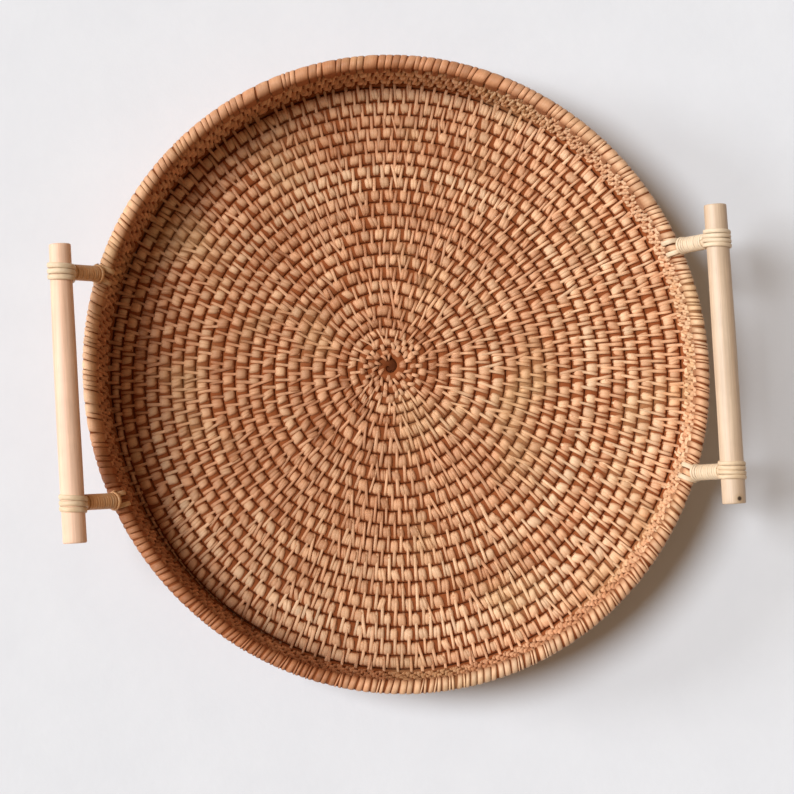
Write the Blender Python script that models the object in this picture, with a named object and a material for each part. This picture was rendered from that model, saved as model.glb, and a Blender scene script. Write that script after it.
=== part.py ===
"""Round coiled rattan serving tray with two stick handles lashed to its rim.

The tray lies flat: +Z is up, the handles stand on the left (-X) and right (+X), and the origin is
the middle of the underside. A cane core is coiled into the base and stacked into the side, and
strips of split cane stitch it together. A thicker hoop, bound all round, makes the rim. Each stick
stands on two short posts, whose canes loop round the rim and whose lashings turn round the stick.
"""

import math

import bmesh
import bpy
from mathutils import Matrix, Vector

MM = 0.001
GAP = 0.3 * MM  # between pieces that touch
STRIP_THICKNESS = 0.7 * MM  # the stitching's cane strip

# Plan: every ring is an oval, slightly narrower from handle to handle
OVAL_X = 0.977
RIM_OUTER_RADIUS = 150.0 * MM
RIM_SECTION_RADIUS = 3.8 * MM
COIL_RADIUS = 146.0 * MM  # middle of the side's coils and of the base's last turn

# Base
BASE_THICKNESS = 6.4 * MM
ROW_PITCH = 6.75 * MM
EYE_ROW_PITCH = 5.1 * MM
EYE_ROWS = 4
EYE_HOLE_RADIUS = 2.4 * MM
EYE_HUB_WALL = 1.0 * MM
FIRST_TURN_RADIUS = 6.3 * MM
BASE_CORE_RADIUS = 2.0 * MM
BASE_CORE_LENGTHS = ("inner", "middle", "outer")
SPLICE_GAP = 0.5 * MM
GROOVE_DEPTH = 0.8 * MM

# Side
SIDE_ROWS = 4
SIDE_PITCH = 6.5 * MM
SIDE_HALF_THICKNESS = 3.2 * MM
SIDE_CORE_RADIUS = 1.7 * MM
SIDE_TOP = BASE_THICKNESS + SIDE_ROWS * SIDE_PITCH

# Rim
RIM_STRIP_THICKNESS = 0.8 * MM
RIM_SEAM_HALF_ANGLE = math.radians(25)
RIM_CENTRE_RADIUS = RIM_OUTER_RADIUS - RIM_SECTION_RADIUS
RIM_CENTRE_Z = SIDE_TOP + GAP + RIM_SECTION_RADIUS
RIM_TOP = RIM_CENTRE_Z + RIM_SECTION_RADIUS

# Handles
STICK_RADIUS = 5.3 * MM
STICK_LENGTH = 137.0 * MM
STICK_X = 151.0 * MM
STICK_Z = RIM_TOP + 20.0 * MM
STICK_CHAMFER = 0.5 * MM
POST_SPACING = 106.0 * MM
POST_CORE_RADIUS = 2.9 * MM
POST_WINDING_THICKNESS = 0.65 * MM
CANE_WIDTH = 1.7 * MM
CANE_THICKNESS = 0.9 * MM
LASHING_TURNS = 4
LASHING_PITCH = 2.05 * MM
TIE_OFFSET = 2.8 * MM  # each tie loop stands this far to one side of its post
POST_FOOT_CLEARANCE = 2.4 * MM  # from the rim to the post's foot, where the ties pass
HANDLES = {
    "left": {"side": -1, "stick_y": -1.5 * MM, "posts_y": 1.6 * MM},
    "right": {"side": 1, "stick_y": -0.2 * MM, "posts_y": -1.2 * MM},
}

# Facets
BASE_SIDES = 32
RING_SIDES = 48
SIDE_CORE_SIDES = 48
EYE_STEPS_PER_TURN = 12
STEPS_PER_TURN = 20
STICK_SIDES = 20
POST_SIDES = 12
TIE_SIDES = 14
LASHING_STEPS_PER_TURN = 10
SMOOTH_ANGLE = math.radians(35)


def clear_scene():
    for obj in list(bpy.data.objects):
        bpy.data.objects.remove(obj, do_unlink=True)


def make_material(name, colour, roughness):
    material = bpy.data.materials.new(name)
    material.use_nodes = True
    shader = material.node_tree.nodes["Principled BSDF"]
    shader.inputs["Base Color"].default_value = (*colour, 1.0)
    shader.inputs["Roughness"].default_value = roughness
    shader.inputs["Metallic"].default_value = 0.0
    material.diffuse_color = (*colour, 1.0)
    return material


def add_mesh_object(name, bm, material):
    """Turns a closed bmesh into a smooth-shaded object."""
    bmesh.ops.recalc_face_normals(bm, faces=bm.faces)
    mesh = bpy.data.meshes.new(name)
    bm.to_mesh(mesh)
    bm.free()
    mesh.shade_smooth()
    mesh.set_sharp_from_angle(angle=SMOOTH_ANGLE)
    mesh.materials.append(material)
    obj = bpy.data.objects.new(name, mesh)
    bpy.context.scene.collection.objects.link(obj)
    return obj


def add_cane_curve(name, points, radius, material, cyclic=False):
    """A cane along a line of points, with a four-sided section and filled ends."""
    curve = bpy.data.curves.new(name, "CURVE")
    curve.dimensions = "3D"
    curve.twist_mode = "Z_UP"
    curve.bevel_depth = radius
    curve.bevel_resolution = 0
    curve.use_fill_caps = not cyclic
    spline = curve.splines.new("POLY")
    spline.points.add(len(points) - 1)
    for target, point in zip(spline.points, points):
        target.co = (*point, 1.0)
    spline.use_cyclic_u = cyclic
    curve.materials.append(material)
    obj = bpy.data.objects.new(name, curve)
    bpy.context.scene.collection.objects.link(obj)
    return obj


def oval_point(radius, angle, z=0.0):
    return Vector((OVAL_X * radius * math.cos(angle), radius * math.sin(angle), z))


def oval_tangent(angle):
    return Vector((-OVAL_X * math.sin(angle), math.cos(angle), 0.0)).normalized()


def spin_profile(profile, sides):
    """A closed (radius, height) outline turned all the way round Z."""
    bm = bmesh.new()
    verts = [bm.verts.new((radius, 0.0, height)) for radius, height in profile]
    edges = [bm.edges.new((a, b)) for a, b in zip(verts, verts[1:] + verts[:1])]
    bmesh.ops.spin(
        bm,
        geom=verts + edges,
        cent=(0, 0, 0),
        axis=(0, 0, 1),
        angle=math.tau,
        steps=sides,
        use_merge=True,
    )
    return bm


def add_ring(name, profile, sides, material):
    """A closed outline turned round the tray's axis and narrowed to the tray's oval."""
    bm = spin_profile(profile, sides)
    bmesh.ops.scale(bm, vec=(OVAL_X, 1.0, 1.0), verts=bm.verts)
    return add_mesh_object(name, bm, material)


def base_row_edges():
    """Radii of the grooves between the base's rows, from the outside in."""
    edges = [COIL_RADIUS + ROW_PITCH / 2]
    inner_zone = FIRST_TURN_RADIUS + EYE_ROWS * EYE_ROW_PITCH
    while edges[-1] - ROW_PITCH > inner_zone:
        edges.append(edges[-1] - ROW_PITCH)
    while edges[-1] - EYE_ROW_PITCH > EYE_HOLE_RADIUS + EYE_HUB_WALL:
        edges.append(edges[-1] - EYE_ROW_PITCH)
    return edges


def base_stitching_profile():
    """Upper and lower sheets of stitching, joined round the eye and open at the outer edge."""
    edges = base_row_edges()
    outer = edges[0]
    hub = EYE_HOLE_RADIUS + EYE_HUB_WALL
    groove_z = BASE_THICKNESS - GROOVE_DEPTH
    upper_z = groove_z - STRIP_THICKNESS
    profile = [(EYE_HOLE_RADIUS, 0.0), (outer, 0.0), (outer, STRIP_THICKNESS)]
    profile += [(hub, STRIP_THICKNESS), (hub, upper_z), (outer, upper_z), (outer, groove_z)]
    for outside, inside in zip(edges, edges[1:]):
        profile.append(((outside + inside) / 2, BASE_THICKNESS))
        profile.append((inside, groove_z))
    profile.append((EYE_HOLE_RADIUS, BASE_THICKNESS - GROOVE_DEPTH / 2))
    return profile


def spiral_radius(turn):
    eye_turns = min(turn, EYE_ROWS)
    return FIRST_TURN_RADIUS + EYE_ROW_PITCH * eye_turns + ROW_PITCH * (turn - eye_turns)


def base_turns():
    return EYE_ROWS + (COIL_RADIUS - spiral_radius(EYE_ROWS)) / ROW_PITCH


def spiral_length(turn):
    """Length of coiled cane from the eye to this turn."""
    steps = max(2, round(turn * EYE_STEPS_PER_TURN))
    radii = [spiral_radius(turn * (i + 0.5) / steps) for i in range(steps)]
    return math.tau * turn * sum(radii) / steps


def turn_at_length(length):
    low, high = 0.0, base_turns()
    while high - low > 1e-6:
        middle = (low + high) / 2
        if spiral_length(middle) < length:
            low = middle
        else:
            high = middle
    return low


def spiral_points(start, end, z):
    """The coil's middle line from one turn to another, counter-clockwise going outwards."""
    turns = [start]
    while True:
        steps = EYE_STEPS_PER_TURN if turns[-1] < EYE_ROWS else STEPS_PER_TURN
        following = (math.floor(turns[-1] * steps + 1e-6) + 1) / steps
        if following > end - 0.25 / steps:
            break
        turns.append(following)
    turns.append(end)
    return [oval_point(spiral_radius(turn), math.tau * turn, z) for turn in turns]


def make_base(core, strip):
    add_ring("base_stitching", base_stitching_profile(), BASE_SIDES, strip)
    middle_z = (BASE_THICKNESS - GROOVE_DEPTH) / 2
    total = spiral_length(base_turns())
    count = len(BASE_CORE_LENGTHS)
    for index, name in enumerate(BASE_CORE_LENGTHS):
        start = turn_at_length(total * index / count + SPLICE_GAP)
        end = turn_at_length(total * (index + 1) / count)
        add_cane_curve(
            f"base_core_{name}", spiral_points(start, end, middle_z), BASE_CORE_RADIUS, core
        )


def side_stitching_profile():
    """Inner and outer faces of stitching, joined over the top coil and open underneath."""
    outer = COIL_RADIUS + SIDE_HALF_THICKNESS
    inner = COIL_RADIUS - SIDE_HALF_THICKNESS
    bottom = BASE_THICKNESS + GAP
    groove = GROOVE_DEPTH / 2
    cavity = SIDE_HALF_THICKNESS - groove - STRIP_THICKNESS
    row_edges = [BASE_THICKNESS + row * SIDE_PITCH for row in range(SIDE_ROWS + 1)]
    row_edges[0] = bottom
    outer_face = [(outer - groove, bottom)]
    inner_face = [(inner + groove, bottom)]
    for low, high in zip(row_edges, row_edges[1:]):
        for face, crest, valley in (
            (outer_face, outer, outer - groove),
            (inner_face, inner, inner + groove),
        ):
            face.append((crest, (low + high) / 2))
            face.append((valley, high))
    tunnel = [
        (COIL_RADIUS - cavity, bottom),
        (COIL_RADIUS - cavity, SIDE_TOP - STRIP_THICKNESS),
        (COIL_RADIUS + cavity, SIDE_TOP - STRIP_THICKNESS),
        (COIL_RADIUS + cavity, bottom),
    ]
    return outer_face + inner_face[::-1] + tunnel


def make_side(core, strip, tie_frames):
    wall = add_ring("side_stitching", side_stitching_profile(), RING_SIDES, strip)
    cut_tie_notches(wall, tie_frames)
    angles = [math.tau * i / SIDE_CORE_SIDES for i in range(SIDE_CORE_SIDES)]
    for row in range(SIDE_ROWS):
        z = BASE_THICKNESS + (row + 0.5) * SIDE_PITCH
        points = [oval_point(COIL_RADIUS, angle, z) for angle in angles]
        add_cane_curve(f"side_core_{row + 1}", points, SIDE_CORE_RADIUS, core, cyclic=True)


def cut_tie_notches(wall, tie_frames):
    """Lets each rim tie pass through the side, between its top coil and the rim."""
    depth = 1.2 * MM
    overshoot = 0.2 * MM
    size = (
        4 * SIDE_HALF_THICKNESS,
        CANE_WIDTH + 2 * GAP,
        depth + overshoot,
    )
    bm = bmesh.new()
    for frame in tie_frames:
        centre = frame.translation
        place = frame.copy()
        place.translation = (centre.x, centre.y, SIDE_TOP - depth + size[2] / 2)
        bmesh.ops.create_cube(bm, size=1.0, matrix=place @ Matrix.Diagonal((*size, 1.0)))
    mesh = bpy.data.meshes.new("tie_notches")
    bmesh.ops.recalc_face_normals(bm, faces=bm.faces)
    bm.to_mesh(mesh)
    bm.free()
    cutter = bpy.data.objects.new("tie_notches", mesh)
    bpy.context.scene.collection.objects.link(cutter)
    cutter.hide_render = True
    cutter.display_type = "WIRE"
    notch = wall.modifiers.new("tie_notches", "BOOLEAN")
    notch.operation = "DIFFERENCE"
    notch.solver = "EXACT"
    notch.object = cutter


def arc(centre, radius, start, end, steps):
    """Points of an arc in the (radius, height) plane; angles from straight down, going outwards."""
    points = []
    for i in range(steps + 1):
        angle = start + (end - start) * i / steps
        points.append(
            (centre[0] + radius * math.sin(angle), centre[1] - radius * math.cos(angle))
        )
    return points


def make_rim(core, strip):
    centre = (RIM_CENTRE_RADIUS, RIM_CENTRE_Z)
    seam = RIM_SEAM_HALF_ANGLE
    inside = RIM_SECTION_RADIUS - RIM_STRIP_THICKNESS
    binding = arc(centre, RIM_SECTION_RADIUS, seam, math.tau - seam, 10)
    binding += arc(centre, inside, math.tau - seam, seam, 7)
    add_ring("rim_binding", binding, RING_SIDES, strip)
    hoop = arc(centre, inside - GAP, 0.0, math.tau, 6)[:-1]
    add_ring("rim_hoop", hoop, RING_SIDES, core)


def rim_frame(y, side):
    """Axes at the rim's middle line where it crosses y: outwards, along the rim, and up."""
    angle = math.asin(y / RIM_CENTRE_RADIUS)
    if side < 0:
        angle = math.pi - angle
    along = oval_tangent(angle)
    up = Vector((0.0, 0.0, 1.0))
    outwards = along.cross(up)
    frame = Matrix((outwards, along, up)).transposed().to_4x4()
    frame.translation = oval_point(RIM_CENTRE_RADIUS, angle, RIM_CENTRE_Z)
    return frame


def handle_posts():
    """(name, side, y) of each of the four posts."""
    posts = []
    for handle, facts in HANDLES.items():
        for end, sign in (("back", 1), ("front", -1)):
            y = facts["posts_y"] + sign * POST_SPACING / 2
            posts.append((f"{handle}_{end}", facts["side"], y))
    return posts


def tie_places():
    """(name, frame) of the two loops round the rim at each post."""
    places = []
    for name, side, y in handle_posts():
        middle = rim_frame(y, side)
        for letter, sign in (("a", 1), ("b", -1)):
            shift = TIE_OFFSET * middle.col[1].y
            places.append((f"{name}_rim_tie_{letter}", rim_frame(y + sign * shift, side)))
    return places


def make_tie(name, frame, material):
    """A flat cane strip looped round the rim."""
    inner = RIM_SECTION_RADIUS + GAP
    outer = inner + CANE_THICKNESS
    half = CANE_WIDTH / 2
    bm = spin_profile([(inner, -half), (outer, -half), (outer, half), (inner, half)], TIE_SIDES)
    stand = Matrix.Rotation(math.pi / 2, 4, "X")
    bmesh.ops.transform(bm, matrix=frame @ stand, verts=bm.verts)
    return add_mesh_object(name, bm, material)


def make_stick(handle, facts, material):
    bm = bmesh.new()
    bmesh.ops.create_cone(
        bm,
        cap_ends=True,
        segments=STICK_SIDES,
        radius1=STICK_RADIUS,
        radius2=STICK_RADIUS,
        depth=STICK_LENGTH,
    )
    caps = [face for face in bm.faces if len(face.verts) == STICK_SIDES]
    rims = [edge for face in caps for edge in face.edges]
    bmesh.ops.bevel(bm, geom=rims, offset=STICK_CHAMFER, segments=1, affect="EDGES")
    stick = add_mesh_object(f"{handle}_handle_stick", bm, material)
    stick.location = (facts["side"] * STICK_X, facts["stick_y"], STICK_Z)
    stick.rotation_euler = (math.pi / 2, 0.0, 0.0)
    return stick


def post_axis(side, y):
    """A frame whose Z runs from the rim's middle line to the stick's, and the distance between."""
    rim_point = rim_frame(y, side).translation
    stick_point = Vector((side * STICK_X, y, STICK_Z))
    direction = stick_point - rim_point
    frame = direction.to_track_quat("Z", "Y").to_matrix().to_4x4()
    frame.translation = rim_point
    return frame, direction.length


def make_post(name, side, y, core, winding):
    """A round cane from the rim ties to the stick's lashing, and the fine cane wound over it."""
    frame, distance = post_axis(side, y)
    low = RIM_SECTION_RADIUS + POST_FOOT_CLEARANCE
    high = distance - STICK_RADIUS - CANE_THICKNESS - 2 * GAP
    bm = bmesh.new()
    bmesh.ops.create_cone(
        bm,
        cap_ends=True,
        segments=POST_SIDES,
        radius1=POST_CORE_RADIUS,
        radius2=POST_CORE_RADIUS,
        depth=high - low,
    )
    post = add_mesh_object(f"{name}_post", bm, core)
    post.matrix_world = frame @ Matrix.Translation((0.0, 0.0, (low + high) / 2))

    inner = POST_CORE_RADIUS + GAP
    outer = inner + POST_WINDING_THICKNESS
    edge = POST_WINDING_THICKNESS / 2
    sleeve = [(inner, low), (outer - edge, low), (outer, low + edge)]
    sleeve += [(outer, high - edge), (outer - edge, high), (inner, high)]
    bm = spin_profile(sleeve, POST_SIDES)
    wound = add_mesh_object(f"{name}_post_winding", bm, winding)
    wound.matrix_world = frame


def make_stick_lashing(name, side, y, material):
    """A flat cane strip wound round the stick where the post meets it."""
    inner = STICK_RADIUS + GAP
    outer = inner + CANE_THICKNESS
    half = CANE_WIDTH / 2
    steps = LASHING_TURNS * LASHING_STEPS_PER_TURN
    bm = bmesh.new()
    loops = []
    for i in range(steps + 1):
        turn = i / LASHING_STEPS_PER_TURN
        middle = LASHING_PITCH * (turn - LASHING_TURNS / 2)
        loop = []
        for radius, offset in ((inner, -half), (outer, -half), (outer, half), (inner, half)):
            across = radius * math.cos(math.tau * turn)
            up = radius * math.sin(math.tau * turn)
            loop.append(bm.verts.new((across, middle + offset, up)))
        loops.append(loop)
    for first, second in zip(loops, loops[1:]):
        for k in range(4):
            following = (k + 1) % 4
            bm.faces.new((first[k], first[following], second[following], second[k]))
    bm.faces.new(loops[0])
    bm.faces.new(loops[-1][::-1])
    lashing = add_mesh_object(f"{name}_stick_lashing", bm, material)
    lashing.location = (side * STICK_X, y, STICK_Z)


def make_handles(stick_wood, cane, core):
    for handle, facts in HANDLES.items():
        make_stick(handle, facts, stick_wood)
    for name, side, y in handle_posts():
        make_post(name, side, y, core, cane)
        make_stick_lashing(name, side, y, cane)
    for name, frame in tie_places():
        make_tie(name, frame, cane)


def main():
    clear_scene()
    strip = make_material("cane_strip", (0.58, 0.30, 0.14), 0.55)
    core = make_material("cane_core", (0.66, 0.44, 0.24), 0.65)
    stick_wood = make_material("handle_wood", (0.80, 0.60, 0.38), 0.5)
    cane = make_material("lashing_cane", (0.80, 0.66, 0.42), 0.5)
    make_base(core, strip)
    make_side(core, strip, [frame for _, frame in tie_places()])
    make_rim(core, strip)
    make_handles(stick_wood, cane, core)


main()
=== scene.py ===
"""Look of the round coiled rattan serving tray.

Every stitch of the base, side and rim is its own turn of split cane. Lengths are in millimetres
until a mesh is made, and in the CAD's frame: +Z up, handles at -X (left) and +X (right).
"""

import math

import bpy
import numpy as np
from mathutils import Matrix, Vector


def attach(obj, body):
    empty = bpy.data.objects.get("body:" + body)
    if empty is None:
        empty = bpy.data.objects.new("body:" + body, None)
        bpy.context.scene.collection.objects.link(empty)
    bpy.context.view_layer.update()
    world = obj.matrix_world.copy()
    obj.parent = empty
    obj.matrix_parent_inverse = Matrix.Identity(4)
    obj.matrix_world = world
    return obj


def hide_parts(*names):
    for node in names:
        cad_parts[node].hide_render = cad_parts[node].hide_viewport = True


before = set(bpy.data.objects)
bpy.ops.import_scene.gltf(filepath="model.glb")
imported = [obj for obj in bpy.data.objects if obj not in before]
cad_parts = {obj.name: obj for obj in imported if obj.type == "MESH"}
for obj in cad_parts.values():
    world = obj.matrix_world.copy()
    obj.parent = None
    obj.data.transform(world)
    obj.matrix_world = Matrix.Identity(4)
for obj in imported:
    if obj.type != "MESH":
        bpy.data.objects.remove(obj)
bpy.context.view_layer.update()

MM = 0.001
TAU = math.tau

# Plan
OVAL_X = 0.977
COIL_RADIUS = 146.0
BASE_THICKNESS = 6.4
BASE_MIDDLE = BASE_THICKNESS / 2
ROW_PITCH = 6.75
EYE_ROW_PITCH = 5.1
EYE_ROWS = 4
FIRST_TURN_RADIUS = 6.3
COIL_START = -0.86  # the coil's first bend, inside the CAD's first full turn
SIDE_ROWS = 4
SIDE_PITCH = 6.62
RIM_SECTION_RADIUS = 3.55
RIM_CENTRE_RADIUS = 146.5
RIM_CENTRE_Z = 36.35

# The tray isn't quite true: it bulges to the back left and the front right, the side leans
# out a little, the eye sits off the middle, and the rows waver
DIAGONAL_BULGE = 0.0098
FLARE = 2.0
EYE_OFFSET = (-3.2, 4.6)
EYE_OFFSET_REACH = 135.0
WAVER = 0.32

# Stitches
STITCH_PITCH = 5.65
EYE_STITCH_PITCH = 4.3
PAD_MIDDLE = 0.56  # places along a stitch's slot, as shares of it
PAD_HALF = 0.305
STRAND_IN = 0.12
STRAND_OUT = 0.80
PULL = 0.55
CORE_ACROSS = 0.503  # half the coil's core across its row, as a share of the pitch
CORE_HEIGHT = 2.0
CORE_START = -1.73
PADS_START = -0.62
CORE_SQUARENESS = 0.8
FIRST_KNOTS = 0.1  # turns of the coil where short crossing stitches, then long ones, begin
FIRST_STRANDS = 2.2
PAD_HEIGHT = 3.15
PAD_REACH = 0.437  # half the pad across its row, as a share of the row pitch
STRAND_WIDTH = 1.75
STRAND_THICKNESS = 0.85
LAST_TURN_FULL = 0.7  # share of the last turn before the coil's end tapers off
LAST_TURN_END = 0.955
SIDE_SHIFT = 0.32
RIM_SLOTS = 136
CORE_SIDES = 12
CORE_STEPS = 72  # rings in a turn of the coil
RING_STEPS = 240  # rings in a level coil

# Tones, from 0 to 1: a strip of cane keeps its own over a run of stitches
TONE_SPREAD = 0.17
STRIP_RUN = (14, 60)
RIM_STRIP_RUN = (20, 90)

# Handles
STICK_RADIUS = 5.3
STICK_LENGTH = 137.0
STICK_X = 150.3
STICK_Z = 60.3
POST_SPACING = 106.0
STICK_SIDES = 40
LASHINGS = {-1: (3, 2.65, 2.5), 1: (4, 2.05, 2.0)}  # turns, pitch and width of the cane, by side
POST_RADIUS = 3.1
POST_END = STICK_RADIUS - 0.4  # from the post's head to the stick's middle line
FOOT_START = 4.5  # from the rim's middle line to the post's foot
FOOT_FLARE = {-1: 1.25, 1: 0.55}
FOOT_SHIFT = {"left_back": (1.3, 0.5), "left_front": (2.9, 1.2), "right_back": (-0.8, 0.3)}
WINDING_PITCH = 1.45
TIE_OFFSET = 2.8
FORWARD = np.array([0.0, 1.0, 0.0])
UPWARD = np.array([0.0, 0.0, 1.0])
HANDLES = {
    "left": {"side": -1, "stick_y": -2.2, "posts_y": 0.7, "taper": 0.055},
    "right": {"side": 1, "stick_y": -1.5, "posts_y": -1.9, "taper": 0.025},
}

rng = np.random.default_rng(11)


# ---------------------------------------------------------------- small maths


def smooth(x):
    x = np.clip(x, 0.0, 1.0)
    return x * x * (3.0 - 2.0 * x)


def unit(v):
    return v / np.linalg.norm(v)


def each(values):
    """One value for each stitch, ready to spread over its rings and sides."""
    return values[:, None, None]


def stacked(*parts):
    """These arrays, broadcast to one shape, side by side on a new last axis."""
    return np.stack(np.broadcast_arrays(*parts), axis=-1)


def arc_length(points):
    """How far along the path each of its points is."""
    steps = np.linalg.norm(np.diff(points, axis=0), axis=1)
    return np.concatenate([[0.0], np.cumsum(steps)])


def closed_tangents(path):
    """Unit tangents of a closed path in a plane."""
    step = np.roll(path, -1, axis=0) - np.roll(path, 1, axis=0)
    return step / np.linalg.norm(step, axis=1)[:, None]


def section(sides, squareness=1.0, start=0.0):
    """Angles round a section, and its coordinates from -1 to 1. It is round at a squareness of 1,
    and square-shouldered below that."""
    turn = TAU * (np.arange(sides) + start) / sides
    across, up = (np.sign(f) * np.abs(f) ** squareness for f in (np.cos(turn), np.sin(turn)))
    return turn, across, up


def spiral_radius(turn):
    eye = np.minimum(turn, EYE_ROWS)
    return FIRST_TURN_RADIUS + EYE_ROW_PITCH * eye + ROW_PITCH * (turn - eye)


LAST_TURN = EYE_ROWS + (COIL_RADIUS - ROW_PITCH - spiral_radius(EYE_ROWS)) / ROW_PITCH
EDGE_RADIUS = COIL_RADIUS - ROW_PITCH / 2  # groove between the spiral and the level edge row


def turn_share(angle):
    """How far past the spiral's end this angle is, from 0 to 1 of a turn."""
    return np.mod(angle / TAU - LAST_TURN, 1.0)


def last_row_width(share):
    return ROW_PITCH * (1.0 - smooth((share - LAST_TURN_FULL) / (1.0 - LAST_TURN_FULL)))


def plan_point(radius, angle, height):
    """The tray's oval, with the eye off its middle and the rows a little wavy."""
    fade = np.clip(1.0 - radius / EYE_OFFSET_REACH, 0.0, 1.0)
    inner = np.clip(radius / 20.0, 0.0, 1.0) * np.clip((COIL_RADIUS - radius) / 14.0, 0.0, 1.0)
    wave = np.sin(3 * angle + radius / 21.0) + 0.7 * np.sin(5 * angle - radius / 13.0 + 1.0)
    wave = wave + 0.5 * np.sin(9 * angle + radius / 9.0 + 2.0)
    radius = (radius + WAVER * inner * wave) * (1.0 - DIAGONAL_BULGE * np.sin(2 * angle))
    x = OVAL_X * radius * np.cos(angle) + EYE_OFFSET[0] * fade
    y = radius * np.sin(angle) + EYE_OFFSET[1] * fade
    return stacked(x, y, height)


def base_point(angle, turn, height, share, inner_edge):
    """A point of the base. turn is the radial place in turns of the coil, height is from the
    base's middle plane, and inner_edge is the last turn's inner groove at this angle."""
    width = last_row_width(share)
    shift = ROW_PITCH - width - ROW_PITCH * share
    lean = np.clip((turn - EYE_ROWS) / (inner_edge - EYE_ROWS), 0.0, 1.0)
    regular = spiral_radius(turn) + shift * lean
    past = turn - inner_edge
    last = EDGE_RADIUS - width + width * past
    edge = EDGE_RADIUS + ROW_PITCH * (past - 1.0)
    radius = np.where(past <= 0.0, regular, np.where(past <= 1.0, last, edge))
    return plan_point(radius * (1.0 - FLARE / COIL_RADIUS), angle, BASE_MIDDLE + height)


def side_point(angle, row, height):
    """A point of the side. row 0 is the base's level edge row; height is outwards."""
    lean = FLARE * (1.0 - np.clip(row / SIDE_ROWS, 0.0, 1.0))
    return plan_point(COIL_RADIUS - lean + height, angle, BASE_MIDDLE + SIDE_PITCH * row)


# ---------------------------------------------------------------- laying the stitches


class Stitches:
    """A row of slots: where each starts, how wide it is, and where its strand comes from."""

    def __init__(self, start, width, anchor, turn):
        self.start = np.array(start)
        self.width = np.array(width)
        self.anchor = np.array(anchor)
        self.turn = np.array(turn)
        self.count = len(self.start)


def ring_widths(start):
    """Widths of the slots of a closed row."""
    return np.append(np.diff(start), start[0] + TAU - start[-1])


def nominal_pitch(turn):
    return EYE_STITCH_PITCH + (STITCH_PITCH - EYE_STITCH_PITCH) * float(smooth((turn - 1.0) / 4.0))


def lay_spiral():
    """Slots along the whole spiral, each row's strands starting at the row inside it."""
    angle = COIL_START * TAU
    starts, widths, anchors, outs = [], [], [], []
    used = -1
    while angle / TAU < LAST_TURN + LAST_TURN_END:
        turn = angle / TAU
        width = nominal_pitch(turn) / float(spiral_radius(max(turn, -0.4)))
        width *= 1.0 + (0.06 + 0.07 * (turn < 3)) * rng.standard_normal()
        wanted = angle + STRAND_IN * width
        anchor = wanted
        if turn > COIL_START + 1.05:
            candidate = max(used, 0)
            while candidate + 1 < len(outs) and abs(outs[candidate + 1] + TAU - wanted) <= abs(
                outs[candidate] + TAU - wanted
            ):
                candidate += 1
            gap = outs[candidate] + TAU - wanted
            if candidate != used:
                angle += PULL * gap
                anchor = outs[candidate] + TAU
            else:
                anchor = outs[candidate] + TAU + 0.12 * width
            used = candidate
        starts.append(angle)
        widths.append(width)
        anchors.append(anchor + 0.03 * width * rng.standard_normal())
        outs.append(angle + STRAND_OUT * width)
        angle += width
    starts = np.array(starts)
    widths = np.append(np.diff(starts), widths[-1])
    return Stitches(starts, widths, anchors, starts / TAU)


def lay_edge(spiral):
    """Slots of the level edge row, whose strands start at the spiral's last turn."""
    first = LAST_TURN * TAU
    pool = spiral.start + STRAND_OUT * spiral.width
    row = pool[(pool > first - 0.06) & (pool < first + LAST_TURN_END * TAU)]
    count = round(TAU * COIL_RADIUS / STITCH_PITCH)
    start = first + TAU * (np.arange(count) + 0.12 * rng.standard_normal(count)) / count
    width = ring_widths(start)
    wanted = start + STRAND_IN * width
    nearest = row[np.abs(row[None, :] - wanted[:, None]).argmin(axis=1)]
    gap = nearest - wanted
    gap = np.where(np.abs(gap) > 0.7 * width, 0.0, gap)
    start = start + PULL * gap
    return Stitches(start, ring_widths(start), wanted + gap, np.full(count, LAST_TURN + 1.0))


def lay_side(edge):
    """Four rows of slots up the side, each shifted along from the one below."""
    rows = [edge]
    for _ in range(SIDE_ROWS):
        below = rows[-1]
        jitter = 0.05 * rng.standard_normal(below.count)
        start = below.start + (SIDE_SHIFT + jitter) * below.width
        anchor = below.start + STRAND_OUT * below.width
        rows.append(Stitches(start, ring_widths(start), anchor, np.zeros(below.count)))
    return rows


def strip_tones(count, run=STRIP_RUN):
    """One tone for each stitch: a strip of cane keeps its own tone until it runs out."""
    tones = np.empty(count)
    at = 0
    while at < count:
        length = int(rng.integers(*run))
        tones[at : at + length] = np.clip(0.55 + TONE_SPREAD * rng.standard_normal(), 0.0, 1.0)
        at += length
    return np.clip(tones + 0.07 * rng.standard_normal(count), 0.0, 1.0)


def painted_light_to_front_right(angle):
    """Painted light and shade: the cane is paler towards the front right of the tray than at the back
    left.
    """
    return 0.07 * np.cos(angle + 0.6) - 0.01


# ---------------------------------------------------------------- mesh parts


class Shell:
    """Vertices, faces and painted values gathered for one piece."""

    def __init__(self):
        self.points, self.faces, self.tone, self.grain = [], [], [], []
        self.size = 0

    def add(self, points, faces, tone, grain):
        """points (..., 3) in mm, faces a list of index arrays, tone and grain to broadcast."""
        self.faces += [face + self.size for face in faces]
        for values, kept in ((points, self.points), (tone, self.tone), (grain, self.grain)):
            kept.append(np.broadcast_to(values, points.shape).reshape(-1, 3))
        self.size += len(self.points[-1])


def grid_faces(count, rings, sides, closed):
    """Faces of many tubes, each of rings x sides vertices. An open tube has its two end caps."""
    ring = np.arange(rings if closed else rings - 1)[:, None]
    side = np.arange(sides)
    after = (side + 1) % sides
    upper = (ring + 1) % rings
    corners = (ring * sides + side, upper * sides + side, upper * sides + after, ring * sides + after)
    first = np.arange(count)[:, None] * rings * sides
    quads = stacked(*corners).reshape(-1, 4)
    faces = [(quads + first[:, :, None]).reshape(-1, 4)]
    if not closed:
        faces += [first + side, first + (rings - 1) * sides + side[::-1]]
    return faces


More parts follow.
